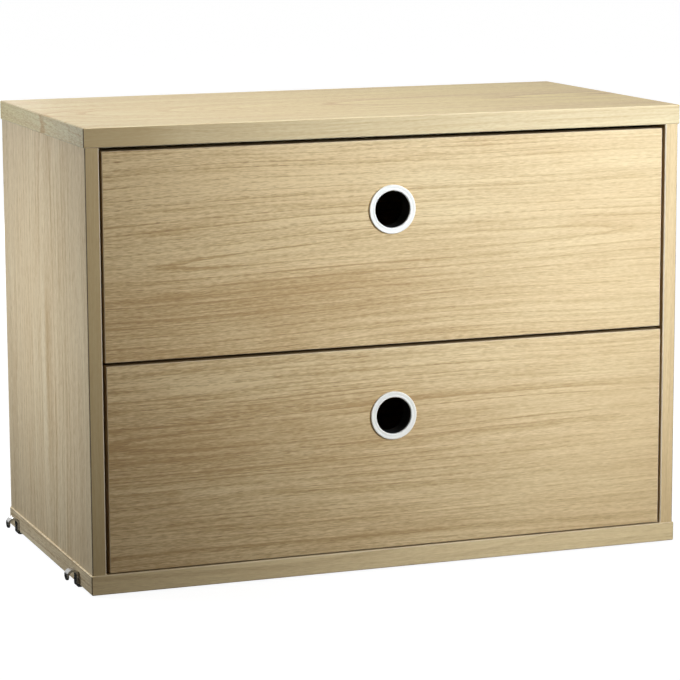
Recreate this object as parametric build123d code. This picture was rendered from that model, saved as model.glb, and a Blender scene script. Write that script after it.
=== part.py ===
from build123d import *
import os

# Hanging drawer unit: a veneered carcass with two inset drawers on telescopic ball-bearing slides.
# Millimetres. X runs along the width, the drawers open towards -Y, Z is up.
# The origin is the bottom centre of the whole unit, which stands on the feet of its four hooks.

# Carcass
width = 580.0
depth = 300.0
height = 420.0
panel_thickness = 18.0
side_thickness = 13.0
side_setback = 1.2
front_setback = 1.0
edge_arris = 0.8

# Back panel, held in grooves
back_thickness = 4.0
back_inset = 10.0
back_groove_depth = 5.0
groove_end_clearance = 0.5

# Fasteners are eight-sided and cams twelve-sided; their radii are measured to the flats
fastener_sides = 8
cam_sides = 12

# Cam locks, cam bolts and dowels between the sides and the horizontal panels
cam_radius = 6.0
cam_depth = 9.5
cam_distance = 24.0
cam_slot_width = 1.6
cam_slot_depth = 1.5
cam_slot_reach = 4.2
cam_mouth_overrun = 1.0
bolt_shank_radius = 1.8
bolt_thread_radius = 2.5
bolt_thread_length = 10.0
bolt_head_radius = 2.4
bolt_head_height = 2.2
bolt_bore_clearance = 0.5
dowel_radius = 3.0
dowel_length = 24.0
dowel_margin = 72.0
joinery_clearance = 0.05

# Gaps round the drawer fronts
gap_top = 3.6
gap_middle = 3.3
gap_bottom = 1.2
gap_side = 3.0

# Drawer fronts, as adjusted on their slides
front_thickness = 16.0
front_arris = 0.5
upper_front_shift = -0.5
lower_front_shift = 0.4

# Finger pull: a flanged ring in front and a flanged sleeve from behind
pull_drop = 63.5
pull_hole_radius = 17.0
ring_radius = 22.5
ring_proud = 2.0
ring_bevel = 0.9
spigot_outer_radius = 20.5
spigot_inner_radius = 19.3
spigot_length = 11.0
sleeve_radius = 19.1
sleeve_flange_radius = 23.0
sleeve_flange_thickness = 1.6
pull_clearance = 0.1

# Drawer box
box_lift = 10.0
box_height = 150.0
box_rear_gap = 17.0
box_side_thickness = 12.0
box_back_thickness = 12.0
box_back_margin = 8.0
box_dado_depth = 5.0
box_edge_bevel = 1.0
bottom_thickness = 5.0
bottom_lift = 8.0
bottom_groove_depth = 6.0
bottom_clearance = 0.3
tongue_length = 8.0
tongue_neck = 7.0
tongue_tip = 9.0
tongue_clearance = 0.1
bottom_screw_count = 2
bottom_screw_spacing = 300.0
bottom_screw_length = 20.0
bottom_screw_radius = 1.5
bottom_screw_head_radius = 3.0
bottom_screw_head_height = 1.2

# Telescopic slides. Across the slide, u runs from the carcass side to the drawer side.
slide_depth = 12.7
slide_height = 45.0
slide_lift = 62.0
slide_front_gap = 2.0
member_thickness = 1.2
member_bend = 1.8
cage_thickness = 0.6
layer_gap = 0.3
outer_ball_diameter = 4.0
inner_ball_diameter = 3.2
cabinet_flange_reach = 9.2
cabinet_lip = 4.2
middle_flange_reach = 10.6
middle_lip = 3.4
drawer_flange_reach = 7.4
cage_end_margin = 3.5
cage_window_count = 3
cage_window_length = 26.0
cage_window_height = 14.0
stop_tab_height = 16.0
stop_tab_gap = 0.4
slide_screw_margin = 36.0
slide_screw_radius = 1.7
slide_screw_head_radius = 2.8
slide_screw_length = 11.0
access_hole_radius = 4.5

# Hooks of bent strip that hang the unit on round rungs
hook_strip = 2.0
hook_width = 10.0
hook_slot_radius = 3.5
hook_axis_height = 11.0
hook_arm_drop = 4.2
hook_tip_bevel = 2.5
hook_seat_gap = 0.2
hook_foot_length = 30.0
hook_bend = 0.4
hook_front_margin = 48.0
hook_rear_margin = 33.0
hook_screw_radius = 1.9
hook_screw_head_radius = 3.4
hook_screw_length = 15.0
hook_screw_first = 9.0
hook_screw_second = 22.0

# Levels worked out from the driving sizes
z_base = hook_strip
z_floor = z_base + panel_thickness
z_ceiling = z_base + height - panel_thickness
z_top = z_base + height
opening_height = z_ceiling - z_floor
front_height = (opening_height - gap_top - gap_middle - gap_bottom) / 2
ring_reach = max(0.0, ring_proud - front_setback)
y_front = -(depth - ring_reach) / 2
y_rear = y_front + depth
y_face = y_front + front_setback
y_front_back = y_face + front_thickness
y_slide = y_front_back + slide_front_gap
y_back_panel = y_rear - back_inset - back_thickness
y_box_end = y_back_panel - box_rear_gap
x_end = width / 2
x_side_outer = x_end - side_setback
x_side_inner = x_side_outer - side_thickness
x_box_outer = x_side_inner - slide_depth
x_box_inner = x_box_outer - box_side_thickness

# The slides are as long as the drawer box and open to their full length.
# A cage fills the overlap that is left between two rails when the drawer is fully open.
slide_length = y_box_end - y_slide
slide_travel = slide_length
cage_length = slide_length - slide_travel / 2 - 2 * cage_end_margin

parts = {}


def block(x0, x1, y0, y1, z0, z1):
    """Rectangular block between two corners."""
    centre = Pos((x0 + x1) / 2, (y0 + y1) / 2, (z0 + z1) / 2)
    return centre * Box(x1 - x0, y1 - y0, z1 - z0)


def rod(radius, start, end):
    """Round rod between two points."""
    axis = Vector(*end) - Vector(*start)
    base = Plane(origin=start, z_dir=axis)
    return extrude(base * Circle(radius), axis.length)


def flat_sided(radius, sides):
    """Regular polygon whose flats touch a circle of this radius."""
    return RegularPolygon(radius, sides, major_radius=False)


def faceted_rod(radius, start, end, sides=fastener_sides):
    """Flat-sided rod between two points."""
    axis = Vector(*end) - Vector(*start)
    base = Plane(origin=start, z_dir=axis)
    return extrude(base * flat_sided(radius, sides), axis.length)


def along(origin, direction, distance):
    """Point at a distance from origin along a unit direction."""
    return tuple(Vector(*origin) + Vector(*direction) * distance)


def stepped_rod(steps, origin, direction):
    """Flat-sided rod of several steps: (radius, start, end) along the direction."""
    body = None
    for radius, start, end in steps:
        step = faceted_rod(radius, along(origin, direction, start), along(origin, direction, end))
        body = step if body is None else body + step
    return body


def countersunk(origin, direction, radius, head_radius, length):
    """Flat-sided shank under a 45 degree head that starts at origin."""
    head_height = head_radius - radius
    base = Plane(origin=origin, z_dir=direction)
    head = extrude(base * flat_sided(head_radius, fastener_sides), head_height, taper=45)
    shank = faceted_rod(
        radius, along(origin, direction, head_height), along(origin, direction, length)
    )
    return head + shank


def turned_profile(profile, origin, direction):
    """Solid of revolution of a sketch drawn as (radius, distance along the axis)."""
    base = Plane(origin=(0, 0, 0), x_dir=(1, 0, 0), z_dir=(0, -1, 0))
    solid = revolve(base * profile, Axis.Z)
    return Location(Plane(origin=origin, z_dir=direction)) * solid


def mirrored(shape):
    """The same piece on the other side of the unit."""
    return mirror(shape, about=Plane.YZ)


def both(shape):
    """A piece and its mirror image."""
    return [shape, mirrored(shape)]


def cut(shape, tools):
    """Subtract several tools from a shape."""
    for tool in tools:
        shape = shape - tool
    return shape


def corner_levels():
    """Joint planes of the sides: (level of the joint, direction into the horizontal panel)."""
    return [(z_floor, -1), (z_ceiling, 1)]


def dowel_places():
    """Front and rear dowel lines, as Y positions."""
    return [y_front + dowel_margin, y_rear - dowel_margin]


def bolt_y():
    """The cam bolt sits midway between the dowels."""
    return sum(dowel_places()) / 2


def joinery_x():
    """Dowels and bolts stand in the middle of the side panel."""
    return (x_side_outer + x_side_inner) / 2


def dowel(level, y):
    half = dowel_length / 2
    return faceted_rod(dowel_radius, (joinery_x(), y, level - half), (joinery_x(), y, level + half))


def dowel_hole(level, y):
    half = dowel_length / 2 + groove_end_clearance
    radius = dowel_radius + joinery_clearance
    return faceted_rod(radius, (joinery_x(), y, level - half), (joinery_x(), y, level + half))


def cam_bolt(level, into):
    """Bolt screwed into the horizontal panel, with its head inside the cam."""
    head_start = cam_distance - bolt_head_height
    steps = [
        (bolt_thread_radius, -bolt_thread_length, 0),
        (bolt_shank_radius, 0, head_start),
        (bolt_head_radius, head_start, cam_distance),
    ]
    return stepped_rod(steps, (joinery_x(), bolt_y(), level), (0, 0, -into))


def bolt_bores(level, into):
    """Threaded hole in the panel and the bore down the end of the side."""
    x, y = joinery_x(), bolt_y()
    thread_end = level + into * (bolt_thread_length + groove_end_clearance)
    thread = faceted_rod(bolt_thread_radius + joinery_clearance, (x, y, level), (x, y, thread_end))
    radius = bolt_thread_radius + bolt_bore_clearance
    bore = faceted_rod(radius, (x, y, level), (x, y, level - into * cam_distance))
    return thread, bore


def cam_lock(level, into):
    """Cam: a slotted cylinder that opens towards the bolt and takes its head."""
    y = bolt_y()
    z = level - into * cam_distance
    start = (x_side_inner, y, z)
    end = (x_side_inner + cam_depth, y, z)
    body = faceted_rod(cam_radius - joinery_clearance, start, end, cam_sides)
    room = bolt_head_radius + bolt_bore_clearance
    x = joinery_x()
    z_near = z - into * room
    z_far = z + into * (cam_radius + cam_mouth_overrun)
    mouth = block(x - room, x + room, y - room, y + room, min(z_near, z_far), max(z_near, z_far))
    half = cam_slot_width / 2
    reach = cam_slot_reach
    slot_end = x_side_inner + cam_slot_depth
    slot = block(x_side_inner, slot_end, y - reach, y + reach, z - half, z + half)
    cross = block(x_side_inner, slot_end, y - half, y + half, z - reach, z + reach)
    return cut(body, [mouth, slot, cross])


def cam_pocket(level, into):
    y = bolt_y()
    z = level - into * cam_distance
    end = (x_side_inner + cam_depth + joinery_clearance, y, z)
    return faceted_rod(cam_radius, (x_side_inner, y, z), end, cam_sides)


def back_panel_block(end_clearance):
    """Back panel, or with no end clearance the grooves that hold it."""
    reach = back_groove_depth - end_clearance
    x = x_side_inner + reach
    y1 = y_rear - back_inset
    return block(-x, x, y_back_panel, y1, z_floor - reach, z_ceiling + reach)


def horizontal_panel(z0):
    """Top or bottom panel with a small arris on every edge."""
    panel = block(-x_end, x_end, y_front, y_rear, z0, z0 + panel_thickness)
    return chamfer(panel.edges(), edge_arris)


def carcass():
    top = horizontal_panel(z_ceiling)
    bottom = horizontal_panel(z_base)
    side = block(x_side_inner, x_side_outer, y_face, y_rear, z_floor, z_ceiling)
    side = chamfer(side.edges().filter_by(Axis.Z), edge_arris)
    grooves = back_panel_block(0)
    dowels = []
    bolts = []
    cams = []
    side = side - grooves
    for level, into in corner_levels():
        thread, bore = bolt_bores(level, into)
        side = cut(side, [bore, cam_pocket(level, into)])
        bolts += both(cam_bolt(level, into))
        cams += both(cam_lock(level, into))
        holes = both(thread)
        for y in dowel_places():
            side = side - dowel_hole(level, y)
            holes += both(dowel_hole(level, y))
            dowels += both(dowel(level, y))
        if into > 0:
            top = cut(top, holes)
        else:
            bottom = cut(bottom, holes)
    top = top - grooves
    bottom = bottom - grooves
    for level in slide_levels():
        for place in slide_screw_places():
            pilot = slide_pilot((x_side_inner, place, level), (1, 0, 0))
            side = side - pilot
    for x, y in hook_screw_places():
        pilot_end = (x, y, hook_screw_length + groove_end_clearance)
        pilot = faceted_rod(hook_screw_radius + joinery_clearance, (x, y, z_base), pilot_end)
        bottom = cut(bottom, both(pilot))
    parts["top_panel"] = top
    parts["bottom_panel"] = bottom
    parts["right_side_panel"] = side
    parts["left_side_panel"] = mirrored(side)
    parts["back_panel"] = back_panel_block(groove_end_clearance)
    parts["cabinet_dowels"] = Compound(dowels)
    parts["cam_bolts"] = Compound(bolts)
    parts["cam_locks"] = Compound(cams)


def hook_screw_places():
    """Screw axes in the feet of the right-hand hooks, as (x, y)."""
    ys = [y_front + hook_front_margin, y_rear - hook_rear_margin]
    return [(x_end - inward, y) for y in ys for inward in (hook_screw_first, hook_screw_second)]


def hook(y):
    """Right-hand hook: foot under the panel, leg up its end, arch outwards and arm down."""
    x_leg = x_end + hook_seat_gap
    x_axis = x_leg + hook_strip + hook_slot_radius
    outer = hook_slot_radius + hook_strip
    x_arm = x_axis + hook_slot_radius
    foot = Pos((x_end - hook_foot_length + x_leg + hook_strip) / 2, hook_strip / 2) * Rectangle(
        hook_foot_length + hook_seat_gap + hook_strip, hook_strip
    )
    leg = Pos(x_leg + hook_strip / 2, hook_axis_height / 2) * Rectangle(hook_strip, hook_axis_height)
    arch = Pos(x_axis, hook_axis_height) * (Circle(outer) - Circle(hook_slot_radius))
    arch = arch & Pos(x_axis, hook_axis_height + outer / 2) * Rectangle(2 * outer, outer)
    arm_z = hook_axis_height - hook_arm_drop / 2
    arm = Pos(x_arm + hook_strip / 2, arm_z) * Rectangle(hook_strip, hook_arm_drop)
    profile = foot + leg + arch + arm
    heel = profile.vertices().sort_by_distance((x_leg + hook_strip, 0))[0]
    profile = fillet(heel, hook_bend + hook_strip)
    throat = profile.vertices().sort_by_distance((x_leg, hook_strip))[0]
    profile = fillet(throat, hook_bend)
    plane = Plane(origin=(0, y + hook_width / 2, 0), x_dir=(1, 0, 0), z_dir=(0, -1, 0))
    body = extrude(plane * profile, hook_width)
    tip_z = hook_axis_height - hook_arm_drop
    tip = body.edges().filter_by(Axis.X).filter_by(lambda e: abs(e.center().Z - tip_z) < 0.01)
    body = chamfer(tip, hook_tip_bevel)
    for x, screw_y in hook_screw_places():
        if screw_y == y:
            body = body - countersunk(
                (x, y, 0),
                (0, 0, 1),
                hook_screw_radius + joinery_clearance,
                hook_screw_head_radius + joinery_clearance,
                hook_screw_length,
            )
    return body


def hooks():
    front = hook(y_front + hook_front_margin)
    rear = hook(y_rear - hook_rear_margin)
    parts["front_right_hook"] = front
    parts["front_left_hook"] = mirrored(front)
    parts["rear_right_hook"] = rear
    parts["rear_left_hook"] = mirrored(rear)
    screws = []
    for x, y in hook_screw_places():
        screw = countersunk(
            (x, y, 0), (0, 0, 1), hook_screw_radius, hook_screw_head_radius, hook_screw_length
        )
        screws += both(screw)
    parts["hook_screws"] = Compound(screws)


def front_levels():
    """Bottom level of each drawer front."""
    lower = z_floor + gap_bottom
    upper = lower + front_height + gap_middle
    return {"upper": upper, "lower": lower}


def slide_levels():
    """Centre height of each pair of slides."""
    return [z + box_lift + slide_lift for z in front_levels().values()]


def slide_screw_places():
    return [y_slide + slide_screw_margin, y_slide + slide_length - slide_screw_margin]


def slide_pilot(origin, direction):
    """Pilot hole for the part of a rail screw that stands in the wood."""
    radius = slide_screw_radius + joinery_clearance
    length = slide_screw_length - member_thickness + groove_end_clearance
    return faceted_rod(radius, origin, along(origin, direction, length))


def strip_section(points, bend, thickness):
    """Section of a bent sheet: its centreline, with rounded bends if any, thickened to the sheet."""
    line = FilletPolyline(*points, radius=bend) if bend else Polyline(*points)
    return trace(line, line_width=thickness)


def channel(points, bend, thickness, level, length, y0):
    """Sheet channel, symmetric about its mid height, run along Y.

    points holds the upper half of the centreline as (u, v) from the web's middle outwards.
    """
    lower = [(u, -v) for u, v in reversed(points)]
    section = strip_section(lower + points, bend, thickness)
    origin = (x_side_inner, y0, level)
    plane = Plane(origin=origin, x_dir=(-1, 0, 0), z_dir=(0, 1, 0))
    return extrude(plane * section, length)


def rail_screw(origin, direction, clearance=0):
    """Countersunk rail screw, or with a clearance the hole for it."""
    radius = slide_screw_radius + clearance
    head_radius = slide_screw_head_radius + clearance
    return countersunk(origin, direction, radius, head_radius, slide_screw_length)


def race_levels():
    """Centre heights of the two ball rows and of the flanges that they run between."""
    outer_race = slide_height / 2 - member_thickness
    middle_top = outer_race - outer_ball_diameter - layer_gap
    inner_race = middle_top - member_thickness
    drawer_top = inner_race - inner_ball_diameter - layer_gap
    return {
        "cabinet_flange": slide_height / 2 - member_thickness / 2,
        "outer_ball": (outer_race + middle_top) / 2,
        "middle_flange": middle_top - member_thickness / 2,
        "inner_ball": (inner_race + drawer_top) / 2,
        "drawer_flange": drawer_top - member_thickness / 2,
    }


def web_places():
    """Centreline u of each web, nested with one gap between neighbours."""
    outer_cage = member_thickness + layer_gap + cage_thickness / 2
    middle = outer_cage + cage_thickness / 2 + layer_gap + member_thickness / 2
    inner_cage = middle + member_thickness / 2 + layer_gap + cage_thickness / 2
    drawer = slide_depth - member_thickness / 2
    return {"outer_cage": outer_cage, "middle": middle, "inner_cage": inner_cage, "drawer": drawer}


def cabinet_rail(level):
    """Outer channel on the carcass side, with lips round the balls and a bent stop tab behind."""
    flange = race_levels()["cabinet_flange"]
    lip_u = cabinet_flange_reach - member_thickness / 2
    points = [(member_thickness / 2, flange), (lip_u, flange), (lip_u, flange - cabinet_lip)]
    rail = channel(points, member_bend, member_thickness, level, slide_length, y_slide)
    tab_y = y_slide + slide_length + stop_tab_gap
    half = stop_tab_height / 2
    tongue = block(
        x_side_inner - member_thickness,
        x_side_inner,
        y_slide + slide_length,
        tab_y + member_thickness,
        level - half,
        level + half,
    )
    tab_end = x_side_inner - cabinet_flange_reach
    tab = block(tab_end, x_side_inner, tab_y, tab_y + member_thickness, level - half, level + half)
    rail = rail + tongue + tab
    for y in slide_screw_places():
        origin = (x_side_inner - member_thickness, y, level)
        rail = rail - rail_screw(origin, (1, 0, 0), joinery_clearance)
    return rail


def middle_rail(level):
    """Middle channel between the two ball rows, with access holes to the cabinet rail's screws."""
    flange = race_levels()["middle_flange"]
    lip_u = middle_flange_reach - member_thickness / 2
    web_u = web_places()["middle"]
    points = [(web_u, flange), (lip_u, flange), (lip_u, flange - middle_lip)]
    rail = channel(points, member_bend, member_thickness, level, slide_length, y_slide)
    for y in slide_screw_places():
        start = (x_side_inner - web_u - member_thickness, y, level)
        rail = rail - faceted_rod(access_hole_radius, start, (x_side_inner, y, level))
    return rail


def drawer_rail(level):
    """Inner channel screwed to the drawer side."""
    flange = race_levels()["drawer_flange"]
    points = [(web_places()["drawer"], flange), (slide_depth - drawer_flange_reach, flange)]
    rail = channel(points, 0, member_thickness, level, slide_length, y_slide)
    for y in slide_screw_places():
        origin = (x_box_outer + member_thickness, y, level)
        rail = rail - rail_screw(origin, (-1, 0, 0), joinery_clearance)
    return rail


def ball_cage(web_u, ball_v, reach_u, level):
    """Thin channel that spaces the balls, with windows in its web.

    A cage moves a quarter of the travel forward of its own rail, so it starts that far back.
    """
    points = [(web_u, ball_v), (reach_u, ball_v)]
    y0 = y_slide + slide_travel / 4 + cage_end_margin
    cage = channel(points, 0, cage_thickness, level, cage_length, y0)
    pitch = cage_length / cage_window_count
    for index in range(cage_window_count):
        y = y0 + (index + 0.5) * pitch
        half = cage_window_height / 2
        x = x_side_inner - web_u
        cage = cage - block(
            x - cage_thickness,
            x + cage_thickness,
            y - cage_window_length / 2,
            y + cage_window_length / 2,
            level - half,
            level + half,
        )
    return cage


def slides():
    races = race_levels()
    webs = web_places()
    outer_reach = cabinet_flange_reach - member_thickness - layer_gap
    inner_reach = middle_flange_reach - member_thickness - layer_gap
    cabinet_screws = []
    for name, front_level in front_levels().items():
        level = front_level + box_lift + slide_lift
        pieces = {
            "cabinet_rail": cabinet_rail(level),
            "middle_rail": middle_rail(level),
            "drawer_rail": drawer_rail(level),
            "outer_cage": ball_cage(webs["outer_cage"], races["outer_ball"], outer_reach, level),
            "inner_cage": ball_cage(webs["inner_cage"], races["inner_ball"], inner_reach, level),
        }
        for piece, shape in pieces.items():
            parts[f"{name}_right_{piece}"] = shape
            parts[f"{name}_left_{piece}"] = mirrored(shape)
        drawer_screws = []
        for y in slide_screw_places():
            cabinet_screws += both(rail_screw((x_side_inner - member_thickness, y, level), (1, 0, 0)))
            drawer_screws += both(rail_screw((x_box_outer + member_thickness, y, level), (-1, 0, 0)))
        parts[f"{name}_drawer_rail_screws"] = Compound(drawer_screws)
    parts["cabinet_rail_screws"] = Compound(cabinet_screws)


def tongue_prism(clearance, z0, z1):
    """Dovetail tongue at the front end of the right-hand box side, or its socket."""
    x = (x_box_inner + x_box_outer) / 2
    neck = tongue_neck / 2 + clearance
    tip = tongue_tip / 2 + clearance
    y_tip = y_front_back - tongue_length - clearance
    outline = Polyline(
        (x - neck, y_front_back),
        (x + neck, y_front_back),
        (x + tip, y_tip),
        (x - tip, y_tip),
        close=True,
    )
    return Pos(0, 0, z0) * extrude(make_face(outline), z1 - z0)


def box_levels(front_level):
    """Bottom and top of the box, and the faces of its bottom panel."""
    box_bottom = front_level + box_lift
    panel_bottom = box_bottom + bottom_lift
    return box_bottom, box_bottom + box_height, panel_bottom, panel_bottom + bottom_thickness


def back_y():
    """Front and rear faces of the drawer's back."""
    rear = y_box_end - box_back_margin
    return rear - box_back_thickness, rear


def box_side(front_level, slide_level):
    box_bottom, box_top, panel_bottom, panel_top = box_levels(front_level)
    side = block(x_box_inner, x_box_outer, y_front_back, y_box_end, box_bottom, box_top)
    rim = side.edges().filter_by(Axis.Y).filter_by(lambda e: e.center().Z > box_top - 0.01)
    side = chamfer(rim, box_edge_bevel)
    side = side + tongue_prism(0, box_bottom, box_top - box_edge_bevel)
    groove = block(
        x_box_inner,
        x_box_inner + bottom_groove_depth,
        y_face,
        y_box_end,
        panel_bottom,
        panel_top + bottom_clearance,
    )
    y0, y1 = back_y()
    dado = block(x_box_inner, x_box_inner + box_dado_depth, y0, y1, panel_top, box_top)
    pilots = [slide_pilot((x_box_outer, y, slide_level), (-1, 0, 0)) for y in slide_screw_places()]
    return cut(side, [groove, dado] + pilots)


def bottom_screw_places():
    """X positions of the screws that hold the bottom up to the back."""
    first = -(bottom_screw_count - 1) * bottom_screw_spacing / 2
    return [first + index * bottom_screw_spacing for index in range(bottom_screw_count)]


def bottom_screw(x, panel_bottom):
    steps = [
        (bottom_screw_head_radius, -bottom_screw_head_height, 0),
        (bottom_screw_radius, 0, bottom_screw_length),
    ]
    return stepped_rod(steps, (x, sum(back_y()) / 2, panel_bottom), (0, 0, 1))


def box_panels(name, front_level):
    """Back and bottom of the drawer box and the screws between them."""
    box_bottom, box_top, panel_bottom, panel_top = box_levels(front_level)
    y0, y1 = back_y()
    back_x = x_box_inner + box_dado_depth - bottom_clearance
    back = block(-back_x, back_x, y0, y1, panel_top, box_top)
    bottom_x = x_box_inner + bottom_groove_depth - bottom_clearance
    bottom_front = y_front_back - bottom_groove_depth + bottom_clearance
    bottom = block(-bottom_x, bottom_x, bottom_front, y1, panel_bottom, panel_top)
    screws = []
    for x in bottom_screw_places():
        y = sum(back_y()) / 2
        radius = bottom_screw_radius + joinery_clearance
        hole_top = panel_bottom + bottom_screw_length + groove_end_clearance
        hole = faceted_rod(radius, (x, y, panel_bottom), (x, y, hole_top))
        back = back - hole
        bottom = bottom - hole
        screws.append(bottom_screw(x, panel_bottom))
    parts[f"{name}_box_back"] = back
    parts[f"{name}_box_bottom"] = bottom
    parts[f"{name}_bottom_screws"] = Compound(screws)


def drawer_front(front_level, shift):
    box_bottom, box_top, panel_bottom, panel_top = box_levels(front_level)
    x = x_side_inner - gap_side
    z_pull = front_level + front_height - pull_drop
    front = block(shift - x, shift + x, y_face, y_front_back, front_level, front_level + front_height)
    front = chamfer(front.faces().sort_by(Axis.Y)[0].edges(), front_arris)
    socket_top = box_top - box_edge_bevel + tongue_clearance
    sockets = both(tongue_prism(tongue_clearance, front_level, socket_top))
    groove_x = x_box_inner + bottom_groove_depth
    groove = block(
        -groove_x,
        groove_x,
        y_front_back - bottom_groove_depth,
        y_front_back,
        panel_bottom,
        panel_top + bottom_clearance,
    )
    bore = rod(
        spigot_outer_radius + pull_clearance, (shift, y_face, z_pull), (shift, y_front_back, z_pull)
    )
    return cut(front, sockets + [groove, bore])


def ring_section(inner, outer, start, end):
    """Rectangle of a turned profile: radii across, distance along the axis upwards."""
    return Pos((inner + outer) / 2, (start + end) / 2) * Rectangle(outer - inner, end - start)


def pull_ring(shift, z_pull):
    """Finger-pull ring: a bevelled flange on the front and a spigot in its bore."""
    flange = ring_section(pull_hole_radius, ring_radius, 0, ring_proud)
    spigot_end = ring_proud + spigot_length
    spigot = ring_section(spigot_inner_radius, spigot_outer_radius, ring_proud, spigot_end)
    profile = flange + spigot
    rim = profile.vertices().sort_by_distance((ring_radius, 0))[0]
    profile = chamfer(rim, ring_bevel)
    return turned_profile(profile, (shift, y_face - ring_proud, z_pull), (0, 1, 0))


def pull_sleeve(shift, z_pull):
    """Sleeve that lines the finger hole, with a flange behind the front."""
    sleeve = ring_section(pull_hole_radius, sleeve_radius, 0, front_thickness)
    flange_end = front_thickness + sleeve_flange_thickness
    flange = ring_section(pull_hole_radius, sleeve_flange_radius, front_thickness, flange_end)
    return turned_profile(sleeve + flange, (shift, y_face, z_pull), (0, 1, 0))


def drawers():
    shifts = {"upper": upper_front_shift, "lower": lower_front_shift}
    for name, front_level in front_levels().items():
        z_pull = front_level + front_height - pull_drop
        side = box_side(front_level, front_level + box_lift + slide_lift)
        parts[f"{name}_drawer_front"] = drawer_front(front_level, shifts[name])
        parts[f"{name}_pull_ring"] = pull_ring(shifts[name], z_pull)
        parts[f"{name}_pull_sleeve"] = pull_sleeve(shifts[name], z_pull)
        parts[f"{name}_box_right_side"] = side
        parts[f"{name}_box_left_side"] = mirrored(side)
        box_panels(name, front_level)


carcass()
hooks()
slides()
drawers()

os.makedirs("parts", exist_ok=True)
for node, shape in parts.items():
    export_step(shape, f"parts/{node}.step")
print(f"{len(parts)} nodes, front edge at y {y_front:.2f}, unit {z_top:.1f} high")
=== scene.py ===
import math
from collections import namedtuple
from functools import cached_property

import bmesh
import bpy
from mathutils import Matrix, Vector

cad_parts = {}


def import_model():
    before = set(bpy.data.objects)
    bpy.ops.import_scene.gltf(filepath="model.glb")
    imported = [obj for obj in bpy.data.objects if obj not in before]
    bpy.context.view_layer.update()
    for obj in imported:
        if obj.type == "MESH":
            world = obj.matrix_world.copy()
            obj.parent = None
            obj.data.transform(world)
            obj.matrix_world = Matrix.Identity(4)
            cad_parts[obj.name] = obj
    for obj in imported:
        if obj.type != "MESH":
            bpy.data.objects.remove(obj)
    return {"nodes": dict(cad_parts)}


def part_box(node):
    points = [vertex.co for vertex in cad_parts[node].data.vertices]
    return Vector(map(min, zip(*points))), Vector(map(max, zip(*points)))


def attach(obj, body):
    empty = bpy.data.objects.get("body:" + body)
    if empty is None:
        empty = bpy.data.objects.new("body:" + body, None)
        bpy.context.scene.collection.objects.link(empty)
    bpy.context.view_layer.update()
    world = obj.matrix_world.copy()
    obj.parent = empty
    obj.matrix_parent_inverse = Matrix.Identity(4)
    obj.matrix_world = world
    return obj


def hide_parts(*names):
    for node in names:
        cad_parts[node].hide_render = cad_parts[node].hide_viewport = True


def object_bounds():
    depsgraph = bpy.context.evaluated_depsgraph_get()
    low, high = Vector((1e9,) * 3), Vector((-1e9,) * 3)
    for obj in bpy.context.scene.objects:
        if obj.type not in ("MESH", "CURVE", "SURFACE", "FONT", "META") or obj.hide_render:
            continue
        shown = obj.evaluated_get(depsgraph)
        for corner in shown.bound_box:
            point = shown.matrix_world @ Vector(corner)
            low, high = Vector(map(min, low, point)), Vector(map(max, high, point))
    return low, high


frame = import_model()
cad_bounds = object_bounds()

MM = 0.001

# The cabinet's faces: each side stands between the bottom and the top panel, flush with the fronts
SIDE_LOW, SIDE_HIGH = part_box("left_side_panel")
FRONT_FACE = SIDE_LOW.y
INNER_SIDE = -SIDE_HIGH.x
FLOOR, CEILING = SIDE_LOW.z, SIDE_HIGH.z

# Beyond this distance from the middle, a board's upright arris belongs to an outer corner
OUTER_CORNER = -SIDE_LOW.x - 1.3 * MM

# Camera, fitted to the corners of the drawer unit in the photograph, with angles in degrees
CAMERA_PLACE = (-0.9530, -2.5705, 0.6627)
CAMERA_AZIMUTH = 20.412
CAMERA_TILT = 9.735
CAMERA_ROLL = -0.262
CAMERA_LENS = 152.35
SENSOR_WIDTH = 36.0

# Finger rings: a flange with a rounded rim, and the spigot behind it
RING_OUTER = 22.5 * MM
RING_INNER = 17.0 * MM
RING_FLANGE = 2.0 * MM
RING_RIM_ROUND = 0.7 * MM
RING_HOLE_ROUND = 1.1 * MM
SPIGOT_OUTER = 20.5 * MM
SPIGOT_INNER = 19.3 * MM
RING_SEGMENTS = 128

# Fine turned line in the face of a finger ring
LINE_RADIUS = 19.55 * MM
LINE_HALF_WIDTH = 0.30 * MM
LINE_DEPTH = 0.16 * MM

# Ball bearings of the slides: ball size by cage, and the sheet that the cages are bent from
BALL_DIAMETERS = {"outer_cage": 4.0 * MM, "inner_cage": 3.2 * MM}
BALL_PITCH = 8.4 * MM
CAGE_SHEET = 0.6 * MM

# Studio paper: radii of the flat floor's rings, radius of the sweep that starts at the last, and
# height of the backdrop that the sweep leads to
PAPER_RINGS = (0.001, 2.0, 5.0)
PAPER_SWEEP = 3.5
PAPER_HEIGHT = 8.75
PAPER_SEGMENTS = 64
SWEEP_STEPS = 8

# Colours of the oak and of the dowels' beech, linear. LEFT and RIGHT are those at one end of a piece
OAK_LIGHT = (0.765, 0.590, 0.312)
OAK_DARK = (0.480, 0.305, 0.120)
# The top's colour at its left end, paler and greyer than at its right end: a painted sheen
OAK_TOP_LEFT_SHEEN = (0.637, 0.590, 0.383)
OAK_TOP_RIGHT = (0.715, 0.565, 0.198)
OAK_BASE = (0.860, 0.695, 0.385)
OAK_BANDING = (0.720, 0.598, 0.338)
# Banding at the unit's left, darker: painted shade
OAK_BANDING_SHADE_LEFT = (0.585, 0.465, 0.235)
WARM_CLOUD = (1.0, 0.975, 0.96)
PORE_BROWN = (0.320, 0.175, 0.060)
# Pale colour painted on the arrises: a painted highlight
ARRIS_HIGHLIGHT = (0.980, 0.860, 0.640)
# Dark colour painted on the upright arrises at the outer corners: painted shade
ARRIS_SHADE_BROWN = (0.150, 0.100, 0.050)
# Dark colour painted deep in the gaps round the drawers and inside the cabinet: painted shade
GAP_SHADE_BROWN = (0.150, 0.072, 0.010)
BEECH_LIGHT = (0.62, 0.43, 0.26)
BEECH_DARK = (0.50, 0.33, 0.19)

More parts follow.
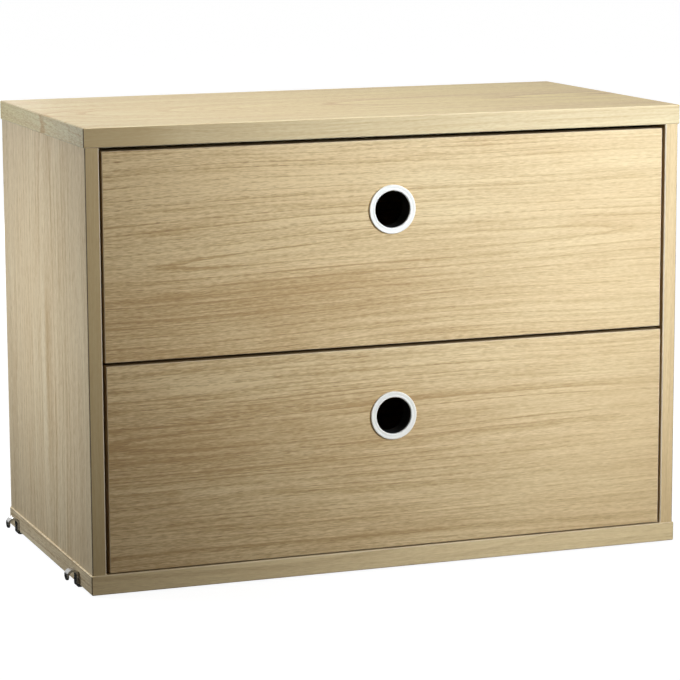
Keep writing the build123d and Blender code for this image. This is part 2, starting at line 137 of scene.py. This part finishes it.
# Colours of the fittings and the studio paper, linear
WHITE_PLASTIC = (0.97, 0.940, 0.830)
BLACK_PLASTIC = (0.022, 0.021, 0.018)
CHROME = (0.54, 0.54, 0.53)
CAGE_STEEL = (0.50, 0.49, 0.46)
ZINC = (0.60, 0.62, 0.65)
SCREW_STEEL = (0.58, 0.59, 0.61)
BALL_STEEL = (0.74, 0.74, 0.75)
PAPER_GREY = (0.15, 0.15, 0.15)
PAPER_PALE = (0.17, 0.17, 0.17)

# How much closer together the marks in a metal lie along each axis: drawn out along Y as in rolled
# sheet, or short in height as in polished strip
ALONG_Y = (1.0, 0.05, 1.0)
SHORT_IN_Z = (1.0, 1.0, 4.0)

# Growth rings per metre of radius, and how many rings' widths their spacing wanders
RINGS_PER_METRE = 150.0
RING_WANDER = 4.5

# Tone of plain wood between 0, pale, and 1, dark, and how strong the figure of a front is at its left
# and at its right end
PLAIN_TONE = 0.27
FRONT_CONTRAST = (1.32, 0.55)

# Streaks of tone along the grain, from fine to wide: how many per metre along and across it, step
# of the seed, detail and roughness of the noise, and weight in the tone
Streaks = namedtuple("Streaks", "along across seed detail roughness weight")
FIBRES = Streaks(160.0, 1000.0, 11.0, 1.0, 0.60, 0.44)
COARSER_STREAKS = (
    Streaks(16.0, 620.0, 17.0, 1.0, 0.60, 0.38),
    Streaks(7.0, 200.0, 23.0, 1.5, 0.55, 0.28),
    Streaks(3.0, 45.0, 31.0, 2.0, 0.50, 0.26),
)

# Tints of the lights, with green held at 1
NEUTRAL = (1.0, 1.0, 1.0)
COOL = (0.92, 1.0, 1.17)
CRISP = (0.89, 1.0, 1.21)
ICY = (0.87, 1.0, 1.36)
MILD = (1.08, 1.0, 0.80)
WARM = (1.30, 1.0, 0.56)

# The photograph's light is strong from the right front and falls off to the lower left, with soft
# light from the left and above. Spots: name, place, target, cone in degrees, power and tint
SPOT_RADIUS = 0.15
SPOTS = (
    ("key", (0.59, -1.02, 0.55), (0.22, -0.15, 0.38), 60.0, 35.0, CRISP),
    ("key_low", (0.70, -1.10, 0.20), (0.35, -0.15, 0.22), 60.0, 3.2, COOL),
    ("key_top", (0.40, -0.95, 0.85), (0.10, -0.15, 0.42), 50.0, 18.0, CRISP),
    ("left_front", (-0.15, -1.10, 0.70), (-0.22, -0.15, 0.40), 40.0, 4.4, MILD),
    ("low_front", (0.45, -0.90, 0.02), (0.30, -0.15, 0.01), 70.0, 4.4, MILD),
)

# Softboxes: name, place, target, width and height, power and tint
SOFTBOXES = (
    ("front_fill", (0.6, -2.4, 0.6), (0.0, -0.15, 0.2), (1.6, 1.0), 4.4, WARM),
    ("overhead", (-0.27, -0.02, 1.2), (-0.25, -0.02, 0.4), (0.30, 0.5), 6.0, MILD),
    ("left_fill", (-0.65, 0.08, 0.255), (-0.29, -0.03, 0.255), (0.18, 0.14), 1.51, ICY),
    ("right_fill", (1.00, 0.40, 0.45), (0.29, 0.05, 0.20), (0.4, 0.4), 4.4, NEUTRAL),
    ("rear_fill", (0.12, 2.6, 0.40), (-0.2, 0.15, 0.3), (0.5, 0.20), 14.0, NEUTRAL),
)

# Lights whose glare would spoil the top or the drawers' sides in other views
WITHOUT_GLARE = ("key", "left_fill")
WORLD_STRENGTH = 0.02


class Value:
    """A number, vector or colour that varies over a surface, with arithmetic for numbers."""

    def __init__(self, shader, socket):
        self.shader = shader
        self.socket = socket

    def __add__(self, other):
        return self.shader.math("ADD", self, other)

    def __radd__(self, other):
        return self.shader.math("ADD", other, self)

    def __sub__(self, other):
        return self.shader.math("SUBTRACT", self, other)

    def __mul__(self, other):
        return self.shader.math("MULTIPLY", self, other)

    def __abs__(self):
        return self.shader.math("ABSOLUTE", self)

    def clipped(self):
        """The number kept between 0 and 1."""
        return self.shader.math("MAXIMUM", self, 0.0, clamp=True)

    def fit(self, low, high, to_low=0.0, to_high=1.0, smooth=False):
        """Map a range of the number to another, clamped."""
        node = self.shader.nodes.new("ShaderNodeMapRange")
        node.interpolation_type = "SMOOTHSTEP" if smooth else "LINEAR"
        return self.shader.fill(node, dict(enumerate((self, low, high, to_low, to_high))))


class Shader:
    """One material under construction: a surface shader and the nodes that feed it."""

    def __init__(self, name):
        self.material = bpy.data.materials.new(name)
        self.material.use_nodes = True
        self.nodes = self.material.node_tree.nodes
        self.links = self.material.node_tree.links
        self.nodes.clear()
        output = self.nodes.new("ShaderNodeOutputMaterial")
        self.surface = self.nodes.new("ShaderNodeBsdfPrincipled")
        self.links.new(self.surface.outputs[0], output.inputs["Surface"])
        coordinates = self.nodes.new("ShaderNodeTexCoord")
        self.place = Value(self, coordinates.outputs["Object"])
        self.normal = Value(self, coordinates.outputs["Normal"])

    def put(self, socket, value):
        """Link a value to a socket, or set a constant on it."""
        if isinstance(value, Value):
            self.links.new(value.socket, socket)
        elif socket.type == "RGBA":
            socket.default_value = (*value, 1.0)
        else:
            socket.default_value = value

    def fill(self, node, inputs, output=0):
        """Fill a node's inputs, by number or name, and return one of its outputs."""
        for key, value in inputs.items():
            self.put(node.inputs[key], value)
        return Value(self, node.outputs[output])

    def set(self, **values):
        """Fill inputs of the surface shader by name, with _ for a space."""
        for name, value in values.items():
            self.put(self.surface.inputs[name.replace("_", " ")], value)

    def math(self, operation, *values, clamp=False):
        node = self.nodes.new("ShaderNodeMath")
        node.operation = operation
        node.use_clamp = clamp
        return self.fill(node, dict(enumerate(values)))

    def split(self, vector):
        """The three parts of a vector."""
        node = self.nodes.new("ShaderNodeSeparateXYZ")
        self.put(node.inputs[0], vector)
        return [Value(self, output) for output in node.outputs]

    @cached_property
    def xyz(self):
        """Place in the row frame, in metres."""
        return self.split(self.place)

    @cached_property
    def facing(self):
        """How squarely the surface faces along each axis, 0 to 1."""
        return [abs(part) for part in self.split(self.normal)]

    def join(self, x, y, z):
        return self.fill(self.nodes.new("ShaderNodeCombineXYZ"), {0: x, 1: y, 2: z})

    def noise(self, point, scale=1.0, detail=2.0, roughness=0.5):
        inputs = {"Vector": point, "Scale": scale, "Detail": detail, "Roughness": roughness}
        return self.fill(self.nodes.new("ShaderNodeTexNoise"), inputs)

    def streaks(self, along, across, per_metre_along, per_metre_across, seed, detail=2.0,
                roughness=0.5):
        """Noise drawn out along the grain."""
        point = self.join(along * per_metre_along, across * per_metre_across, seed)
        return self.noise(point, 1.0, detail, roughness)

    def blend(self, factor, first, second):
        """Colour that is first where the factor is 0 and second where it is 1."""
        node = self.nodes.new("ShaderNodeMix")
        node.data_type = "RGBA"
        return self.fill(node, {0: factor, 6: first, 7: second}, output=2)

    def choose(self, mask, first, second):
        """Number that is first where the mask is 0 and second where it is 1."""
        node = self.nodes.new("ShaderNodeMix")
        node.data_type = "FLOAT"
        return self.fill(node, {0: mask, 2: first, 3: second})

    def bump(self, height, distance, strength):
        inputs = {"Height": height, "Distance": distance, "Strength": strength}
        self.set(Normal=self.fill(self.nodes.new("ShaderNodeBump"), inputs))


# Where each point of a board lay in the log: distances in metres along the grain, across it from
# the figure's middle, and from the heart. The seed sets the board apart from the others
Grain = namedtuple("Grain", "along across radius seed")


def grain_axes(shader, kind):
    """Distances along and across the grain on every face of a board.

    A horizontal panel and a drawer front have long grain with banded ends; a side stands on end.
    """
    x, y, z = shader.xyz
    if kind == "side":
        return z, x + y
    if kind == "box_side":
        return y, x + z
    end = shader.math("GREATER_THAN", shader.facing[0], 0.75)
    end_along, end_across = (y, z) if kind == "panel" else (z, y)
    return shader.choose(end, x, end_along), shader.choose(end, y + z, end_across)


def board_grain(shader, kind, seed, heart, slope, depth, flare):
    """Grain of a board that was cut beside the heart of the log, a little crooked everywhere."""
    along, across = grain_axes(shader, kind)
    u = along - heart[0]
    wander = shader.streaks(along, across, 1.8, 7.0, seed, 1.0) - 0.5
    ripple = shader.streaks(along, across, 6.0, 30.0, seed + 3.7, 1.0) - 0.5
    v = across - heart[1] - u * slope + wander * 0.030 + ripple * 0.003
    w = depth + u * u * flare
    return Grain(along, v, shader.math("SQRT", v * v + w * w), seed)


def ring_tone(shader, grain, depth):
    """Tone of the growth rings, and how near each point lies to the start of its ring.

    Each ring starts with a thin dark line of early wood, broken here and there, that fades outwards.
    """
    wander = shader.noise(shader.join(grain.radius * 60.0, grain.seed, 0.0))
    ring = shader.math("FRACT", grain.radius * RINGS_PER_METRE + wander * RING_WANDER)
    early = ring.fit(0.05, 0.9, 1.0, 0.0)
    broken = shader.streaks(grain.along, grain.radius, 5.0, 60.0, grain.seed + 5.0, 1.0)
    line = ring.fit(0.0, 0.06) * ring.fit(0.06, 0.34, 1.0, 0.0, smooth=True)
    line = line * broken.fit(0.32, 0.60, 0.15, 1.0)
    strength = grain.radius.fit(depth + 0.010, depth + 0.040, 0.85, 0.55)
    return line * strength + early * 0.14, early


def streak_tone(shader, grain, streaks):
    """Noise of one kind of streaks, and its share in the tone."""
    noise = shader.streaks(
        grain.along, grain.across, streaks.along, streaks.across, grain.seed + streaks.seed,
        streaks.detail, streaks.roughness,
    )
    return noise, noise.fit(0.25, 0.75, -streaks.weight, streaks.weight)


def pore_dashes(shader, grain, early):
    """1 on the short dashes of open pores, which are deepest in the early wood."""
    dashes = shader.streaks(grain.along, grain.across, 110.0, 1900.0, grain.seed + 47.0, 0.0)
    return dashes.fit(0.56, 0.66, smooth=True) * (0.25 + early * 0.75)


def figure(shader, grain, depth, contrast, belts):
    """Tone of the wood, 0 for pale to 1 for dark, its fibres alone, and the mask of its pores."""
    tone, early = ring_tone(shader, grain, depth)
    fibres, fibre_tone = streak_tone(shader, grain, FIBRES)
    tone = tone + fibre_tone
    for streaks in COARSER_STREAKS:
        tone = tone + streak_tone(shader, grain, streaks)[1]
    tone = PLAIN_TONE + tone * contrast
    for place, half_width, near, far in belts:
        belt = abs(grain.across - place).fit(0.0, half_width, 1.0, 0.0, smooth=True)
        tone = tone + belt * grain.along.fit(-0.02, 0.20, near, far, smooth=True)
    return tone, fibres, pore_dashes(shader, grain, early) * contrast


def pale_wood(shader, grain, light, far):
    """Colour of the palest wood: light, clouded with a warmer shade, and far at the far end."""
    cloud = shader.streaks(grain.along, grain.across, 5.0, 22.0, grain.seed + 61.0)
    warm = tuple(part * share for part, share in zip(light, WARM_CLOUD))
    pale = shader.blend(cloud.fit(0.35, 0.65), light, warm)
    if far:
        pale = shader.blend(grain.along.fit(-0.28, 0.28), pale, far)
    return pale


def banding(shader, grain, edging, edging_left):
    """Colour of the banding on a front edge, with its own at the left end if that is given, darker
    there as painted shade.
    """
    if not edging_left:
        return edging
    left = grain.along.fit(-0.245, -0.190, smooth=True)
    return shader.blend(left, edging_left, edging)


def oak(name, kind, seed, heart=(0.0, 0.0), slope=0.0, depth=0.02, flare=0.12,
        light=OAK_LIGHT, dark=OAK_DARK, far=None, edging=None, edging_left=None,
        contrast=0.75, belts=(), in_gaps=True):
    """Matt-lacquered oak veneer of one board.

    kind is the board's place in the unit: panel, side, front or box_side. heart is the place of the
    figure's middle along and across the grain, slope its lean, depth its distance from the heart of
    the log, and flare how fast that grows to both ends.
    far is the colour at the far end of the grain, edging that of the banding on the board's front
    edge, and edging_left that of the banding's left end, where these aren't light. The top's paler
    left end is a painted sheen, and a darker edging_left is painted shade.
    belts are wide bands of darker or paler wood: distance across from the figure's middle, half
    width, and strength at the near and the far end of the grain. The top's first belt is painted
    shade.
    A board is in_gaps if some of its faces look into the gaps round the drawers, where painted shade
    darkens them.
    """
    shader = Shader(name)
    grain = board_grain(shader, kind, seed, heart, slope, depth, flare)
    if kind == "front":
        contrast = grain.along.fit(-0.26, 0.26, *(share * contrast for share in FRONT_CONTRAST))
    tone, fibres, pores = figure(shader, grain, depth, contrast, belts)
    pale = pale_wood(shader, grain, light, far)
    # Masks of the painted highlight and the painted shade on the arrises
    arris_highlight, arris_shade = arris_masks(shader)

    # The front edge of a panel or a side is banded, with a quieter figure
    if kind in ("panel", "side"):
        edge = shader.facing[1].fit(0.90, 0.95)
        tone = shader.choose(edge, tone, 0.18 + tone * 0.45)
        pores = pores * edge.fit(0.0, 1.0, 1.0, 0.4)
        if edging:
            pale = shader.blend(edge, pale, banding(shader, grain, edging, edging_left))
        if kind == "side":
            # A side's inner arris next to the drawers gets the painted highlight too
            arris_highlight = shader.math("MAXIMUM", arris_highlight, edge * inner_corner(shader))

    colour = shader.blend(tone.clipped(), pale, dark)
    colour = shader.blend(pores * 0.7, colour, PORE_BROWN)
    # Painted highlight on the arrises
    colour = shader.blend(arris_highlight * 0.9, colour, ARRIS_HIGHLIGHT)
    # Painted shade on the upright arrises at the outer corners
    colour = shader.blend(arris_shade * 0.9, colour, ARRIS_SHADE_BROWN)
    # Painted shade deep in the gaps, fainter on a front's ends than on its top and bottom
    if in_gaps:
        weight = shader.facing[2].fit(0.8, 0.9, 0.15, 0.5) if kind == "front" else 0.5
        colour = shader.blend(gap_shade(shader) * weight, colour, GAP_SHADE_BROWN)

    rough = fibres.fit(0.25, 0.75, 0.36, 0.46) + pores * 0.15 - arris_highlight * 0.10
    shader.set(Base_Color=colour, Roughness=rough, Specular_IOR_Level=0.65)
    shader.bump(fibres * 0.4 - pores * 0.9, 0.05 * MM, 0.3)
    return shader.material


def arris_masks(shader):
    """Masks of the narrow sloping faces along a board's edges.

    The first is 1 on those that get a pale painted highlight. The second is 1 on the
    upright ones at the unit's outer corners, which get a dark painted shade.
    """
    sideways, forwards, upwards = shader.facing
    largest = shader.math("MAXIMUM", shader.math("MAXIMUM", sideways, forwards), upwards)
    arris = largest.fit(0.98, 0.90)
    outer = arris * abs(shader.xyz[0]).fit(OUTER_CORNER, OUTER_CORNER + 0.1 * MM)
    upright = upwards.fit(0.3, 0.2)
    # Painted highlight on the arrises, weaker on those of level edges, taken off at the outer corners
    arris_highlight = arris * upright.fit(0.0, 1.0, 0.45, 1.0) - outer * 0.85
    # The second mask is where the painted shade on the outer upright arrises goes
    return arris_highlight.clipped(), outer * upright


def inner_corner(shader):
    """1 on a narrow strip of a side, next to the opening for the drawers."""
    return abs(shader.xyz[0]).fit(INNER_SIDE + 1.1 * MM, INNER_SIDE + 0.7 * MM)


def gap_shade(shader):
    """Mask of painted shade: 1 on faces that look into the gaps round the drawers and into the
    cabinet, 0 on the others.
    """
    x, y, z = shader.xyz
    deep = y.fit(FRONT_FACE + 0.5 * MM, FRONT_FACE + 4.0 * MM)
    between_sides = abs(x).fit(INNER_SIDE + 0.3 * MM, INNER_SIDE + 0.1 * MM)
    under_top = z.fit(CEILING + 0.3 * MM, CEILING + 0.1 * MM)
    over_bottom = z.fit(FLOOR - 0.3 * MM, FLOOR - 0.1 * MM)
    return deep * (between_sides * (under_top * over_bottom))


def plastic(name, colour, roughness):
    """Moulded plastic with a fine even grain."""
    shader = Shader(name)
    grain = shader.noise(shader.place, 900.0, 3.0, 0.6)
    cloud = shader.noise(shader.place, 60.0)
    darker = tuple(part * 0.96 for part in colour)
    shader.set(
        Base_Color=shader.blend(cloud.fit(0.35, 0.65), darker, colour),
        Roughness=grain.fit(0.3, 0.7, roughness - 0.05, roughness + 0.05),
    )
    shader.bump(grain, 0.02 * MM, 0.3)
    return shader.material


def metal(name, colour, roughness, spread, per_metre, squeeze=(1.0, 1.0, 1.0), relief=0.4):
    """Bare or plated metal: uneven gloss and faint rolling or polishing marks.

    per_metre says how close together the marks lie, and squeeze multiplies it along each axis.
    """
    shader = Shader(name)
    rates = [share * per_metre for share in squeeze]
    marks_at = shader.join(*(axis * rate for axis, rate in zip(shader.xyz, rates)))
    marks = shader.noise(marks_at, 1.0, 3.0, 0.6)
    cloud = shader.noise(shader.place, 90.0, 3.0)
    darker = tuple(part * 0.8 for part in colour)
    shader.set(
        Base_Color=shader.blend(cloud.fit(0.35, 0.65), darker, colour),
        Metallic=1.0,
        Roughness=marks.fit(0.3, 0.7, roughness - spread, roughness + spread),
    )
    shader.bump(marks, 0.01 * MM, relief)
    return shader.material


def carcass_finishes():
    """Veneer of the cabinet's panels and the drawer fronts, each board with its own figure."""
    return {
        "upper_drawer_front": oak(
            "oak_upper_front", "front", 2.1,
            heart=(0.01, 0.1555), slope=0.012, depth=0.010, flare=0.048,
            belts=(
                (0.075, 0.045, -0.12, -0.03), (0.030, 0.045, -0.12, -0.03),
                (-0.035, 0.045, 0.30, 0.07), (-0.080, 0.034, 0.22, 0.06),
            ),
        ),
        "lower_drawer_front": oak(
            "oak_lower_front", "front", 7.3, heart=(0.04, -0.0095), depth=0.008, flare=0.06,
            belts=(
                (0.0, 0.055, 0.32, 0.08), (-0.055, 0.045, 0.14, 0.03), (-0.105, 0.040, 0.06, 0.01),
            ),
        ),
        "top_panel": oak(
            "oak_top", "panel", 12.9, heart=(0.35, 0.42), slope=0.03, depth=0.05,
            # The top is paler and greyer at its left end, a painted sheen, and its banding is darker
            # there, painted shade; the first belt darkens its front toward the right end, painted
            # shade
            light=OAK_TOP_LEFT_SHEEN, far=OAK_TOP_RIGHT, edging=OAK_BANDING, edging_left=OAK_BANDING_SHADE_LEFT,
            belts=(
                (-0.105, 0.035, 0.0, 0.30), (0.030, 0.030, 0.10, 0.22), (-0.030, 0.030, 0.05, -0.10),
            ),
        ),
        "bottom_panel": oak(
            "oak_bottom", "panel", 17.4, heart=(-0.2, -0.1), depth=0.05,
            light=OAK_BASE, contrast=0.6, belts=((-0.04, 0.08, -0.35, -0.09),),
        ),
        "left_side_panel": oak(
            "oak_left", "side", 22.6, heart=(0.2, -0.3), depth=0.04,
            # The side's banding is darker: painted shade
            edging=OAK_BANDING_SHADE_LEFT, contrast=0.6,
        ),
        "right_side_panel": oak(
            "oak_right", "side", 28.8, heart=(0.1, 0.3), depth=0.04, contrast=0.6,
        ),
        "back_panel": oak("oak_back", "front", 33.5, heart=(0.0, 0.3), depth=0.06, in_gaps=False),
    }


def box_finishes():
    """Veneer of the drawer boxes: one for their sides, one for what lies across."""
    side = oak("oak_box_side", "box_side", 41.2, heart=(0.0, 0.1), depth=0.06, in_gaps=False)
    cross = oak("oak_box_cross", "front", 46.9, heart=(0.0, 0.1), depth=0.06, in_gaps=False)
    finishes = {}
    for level in ("upper", "lower"):
        finishes[f"{level}_box_left_side"] = side
        finishes[f"{level}_box_right_side"] = side
        finishes[f"{level}_box_back"] = cross
        finishes[f"{level}_box_bottom"] = cross
    return finishes


def fitting_finishes():
    """Materials of everything that isn't a board, by the end of the node's name."""
    white = plastic("white_plastic", WHITE_PLASTIC, roughness=0.32)
    black = plastic("black_plastic", BLACK_PLASTIC, roughness=0.38)
    beech = oak("beech", "side", 55.0, light=BEECH_LIGHT, dark=BEECH_DARK, in_gaps=False)
    chrome = metal(
        "bright_chrome", CHROME, roughness=0.26, spread=0.05, per_metre=400.0, squeeze=SHORT_IN_Z,
    )
    cage = metal(
        "cage_steel", CAGE_STEEL, roughness=0.42, spread=0.08, per_metre=300.0, squeeze=ALONG_Y,
    )
    zinc = metal(
        "zinc_steel", ZINC, roughness=0.34, spread=0.05, per_metre=500.0, squeeze=ALONG_Y, relief=0.12,
    )
    screw = metal("screw_steel", SCREW_STEEL, roughness=0.30, spread=0.08, per_metre=800.0)
    return {
        "pull_ring": white,
        "pull_sleeve": black,
        "hook": chrome,
        "dowels": beech,
        "cage": cage,
        "rail": zinc,
        "screws": screw,
        "cam_bolts": screw,
        "cam_locks": screw,
    }


def paint(piece, material):
    """Put one material in every slot of a piece."""
    if not piece.material_slots:
        piece.data.materials.append(material)
    for place in piece.material_slots:
        place.material = material


def dress_nodes(boards, fittings):
    """Paint each board by its name, and each fitting by the end of its name."""
    for name, node in frame["nodes"].items():
        if name in boards:
            paint(node, boards[name])
        for ending, material in fittings.items():
            if name.endswith(ending):
                paint(node, material)


def add_piece(name, shape, material):
    """Smooth-shaded object made from a finished bmesh."""
    for face in shape.faces:
        face.smooth = True
    mesh = bpy.data.meshes.new(name)
    shape.to_mesh(mesh)
    shape.free()
    mesh.materials.append(material)
    piece = bpy.data.objects.new(name, mesh)
    bpy.context.scene.collection.objects.link(piece)
    return piece


def turned(point_at, profile, segments, closed=False, capped=False):
    """Surface turned from a profile of (radius, level) points.

    point_at gives the place of a profile's point at an angle. A closed profile ends where it starts,
    and a capped surface is filled at its start.
    """
    shape = bmesh.new()
    columns = []
    for index in range(segments):
        angle = 2 * math.pi * index / segments
        columns.append([shape.verts.new(point_at(radius, level, angle)) for radius, level in profile])
    steps = len(profile) if closed else len(profile) - 1
    for index, column in enumerate(columns):
        after = columns[(index + 1) % segments]
        for step in range(steps):
            following = (step + 1) % len(profile)
            shape.faces.new((column[step], column[following], after[following], after[step]))
    if capped:
        shape.faces.new([column[0] for column in columns])
    bmesh.ops.recalc_face_normals(shape, faces=shape.faces)
    return shape


def about_y(radius, level, angle):
    """Place of a profile's point turned about the Y axis."""
    return radius * math.cos(angle), level, radius * math.sin(angle)


def about_z(radius, level, angle):
    """Place of a profile's point turned about the Z axis."""
    return radius * math.cos(angle), radius * math.sin(angle), level


def arc(centre, radius, start, end, steps):
    """Points of a circular arc in the profile plane, angles in degrees."""
    points = []
    for step in range(steps + 1):
        angle = math.radians(start + (end - start) * step / steps)
        points.append((centre[0] + radius * math.cos(angle), centre[1] + radius * math.sin(angle)))
    return points


def ring_profile(front, rear):
    """Section of a finger ring, from its rounded rim over the face and down the hole."""
    back = front + RING_FLANGE
    return [
        *arc((RING_OUTER - RING_RIM_ROUND, front + RING_RIM_ROUND), RING_RIM_ROUND, 0, -90, 8),
        (LINE_RADIUS + LINE_HALF_WIDTH, front),
        (LINE_RADIUS, front + LINE_DEPTH),
        (LINE_RADIUS - LINE_HALF_WIDTH, front),
        *arc((RING_INNER + RING_HOLE_ROUND, front + RING_HOLE_ROUND), RING_HOLE_ROUND, -90, -180, 6),
        (RING_INNER, back),
        (SPIGOT_INNER, back),
        (SPIGOT_INNER, rear),
        (SPIGOT_OUTER, rear),
        (SPIGOT_OUTER, back),
        (RING_OUTER, back),
    ]


def finger_rings(material):
    """Finger rings with a well rounded rim and a fine turned line, in place of the plain solids."""
    for level in ("upper", "lower"):
        low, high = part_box(f"{level}_pull_ring")
        shape = turned(about_y, ring_profile(low.y, high.y), RING_SEGMENTS, closed=True)
        ring = add_piece(f"{level}_finger_ring", shape, material)
        ring.location = ((low.x + high.x) / 2, 0.0, (low.z + high.z) / 2)
        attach(ring, f"{level}_drawer")
        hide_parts(f"{level}_pull_ring")


def ball_rows(low, high, diameter):
    """Balls along the upper and the lower flange of a cage, standing half through them."""
    x = (low.x + high.x) / 2
    count = int((high.y - low.y) / BALL_PITCH)
    first = (low.y + high.y - (count - 1) * BALL_PITCH) / 2
    shape = bmesh.new()
    for z in (low.z + CAGE_SHEET / 2, high.z - CAGE_SHEET / 2):
        for index in range(count):
            place = Matrix.Translation((x, first + index * BALL_PITCH, z))
            bmesh.ops.create_icosphere(shape, subdivisions=2, radius=diameter / 2, matrix=place)
    return shape


def bearing_balls():
    """Steel balls in both rows of every cage."""
    steel = metal("ball_steel", BALL_STEEL, roughness=0.12, spread=0.04, per_metre=900.0)
    for level in ("upper", "lower"):
        for side in ("left", "right"):
            for kind, diameter in BALL_DIAMETERS.items():
                low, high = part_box(f"{level}_{side}_{kind}")
                shape = ball_rows(low, high, diameter)
                balls = add_piece(f"{level}_{side}_{kind}_balls", shape, steel)
                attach(balls, f"{level}_{kind}s")


def studio_paper():
    """Pale matt paper that glows a little, more so away from the unit."""
    shader = Shader("studio_paper")
    grain = shader.noise(shader.place, 3.0)
    x, y, _ = shader.xyz
    away = shader.math("SQRT", x * x + y * y)
    shader.set(
        Base_Color=shader.blend(grain, PAPER_GREY, PAPER_PALE),
        Roughness=0.9,
        Specular_IOR_Level=0.1,
        Emission_Color=(1.0, 1.0, 1.0),
        Emission_Strength=away.fit(0.3, 3.0, 0.93, 0.98, smooth=True),
    )
    return shader.material


def studio():
    """Pale studio floor that sweeps up into an even backdrop all round."""
    paper = studio_paper()
    flat = [(radius, 0.0) for radius in PAPER_RINGS]
    sweep = arc((PAPER_RINGS[-1], PAPER_SWEEP), PAPER_SWEEP, -90, 0, SWEEP_STEPS)
    sweep.append((PAPER_RINGS[-1] + PAPER_SWEEP, PAPER_HEIGHT))
    ground = add_piece("studio_floor", turned(about_z, flat, PAPER_SEGMENTS, capped=True), paper)
    backdrop = add_piece("studio_backdrop", turned(about_z, sweep, PAPER_SEGMENTS), paper)
    ground.visible_glossy = False
    for piece in (ground, backdrop):
        piece.location.z = cad_bounds[0][2]
        piece.visible_diffuse = False
        piece.visible_shadow = False


def add_light(name, kind, place, target, power, tint):
    """Light of one kind, aimed at a target. Returns its data."""
    data = bpy.data.lights.new(name, kind)
    data.energy = power
    data.color = tint
    light = bpy.data.objects.new(name, data)
    light.location = place
    towards = Vector(target) - Vector(place)
    light.rotation_euler = towards.to_track_quat("-Z", "Y").to_euler()
    light.visible_glossy = name not in WITHOUT_GLARE
    bpy.context.scene.collection.objects.link(light)
    return data


def lights():
    """All spots and softboxes of the studio."""
    for name, place, target, cone, power, tint in SPOTS:
        data = add_light(name, "SPOT", place, target, power, tint)
        data.spot_size = math.radians(cone)
        data.spot_blend = 1.0
        data.shadow_soft_size = SPOT_RADIUS
    for name, place, target, size, power, tint in SOFTBOXES:
        data = add_light(name, "AREA", place, target, power, tint)
        data.shape = "RECTANGLE"
        data.size, data.size_y = size


def world():
    """Faint even light from all round."""
    surroundings = bpy.data.worlds.new("studio")
    bpy.context.scene.world = surroundings
    surroundings.use_nodes = True
    background = surroundings.node_tree.nodes["Background"]
    background.inputs["Color"].default_value = (1.0, 1.0, 1.0, 1.0)
    background.inputs["Strength"].default_value = WORLD_STRENGTH


def camera():
    """Camera at the photograph's place and angle."""
    data = bpy.data.cameras.new("photo_camera")
    data.lens = CAMERA_LENS
    data.sensor_width = SENSOR_WIDTH
    data.clip_start = 0.05
    data.clip_end = 100.0
    turn = (
        Matrix.Rotation(math.radians(-CAMERA_AZIMUTH), 4, "Z")
        @ Matrix.Rotation(math.radians(90.0 - CAMERA_TILT), 4, "X")
        @ Matrix.Rotation(math.radians(CAMERA_ROLL), 4, "Z")
    )
    eye = bpy.data.objects.new("photo_camera", data)
    eye.matrix_world = Matrix.Translation(CAMERA_PLACE) @ turn
    bpy.context.scene.collection.objects.link(eye)
    bpy.context.scene.camera = eye


board_materials = {**carcass_finishes(), **box_finishes()}
fitting_materials = fitting_finishes()
dress_nodes(board_materials, fitting_materials)
finger_rings(fitting_materials["pull_ring"])
bearing_balls()
studio()
lights()
world()
camera()
bpy.context.scene.view_settings.view_transform = "Standard"
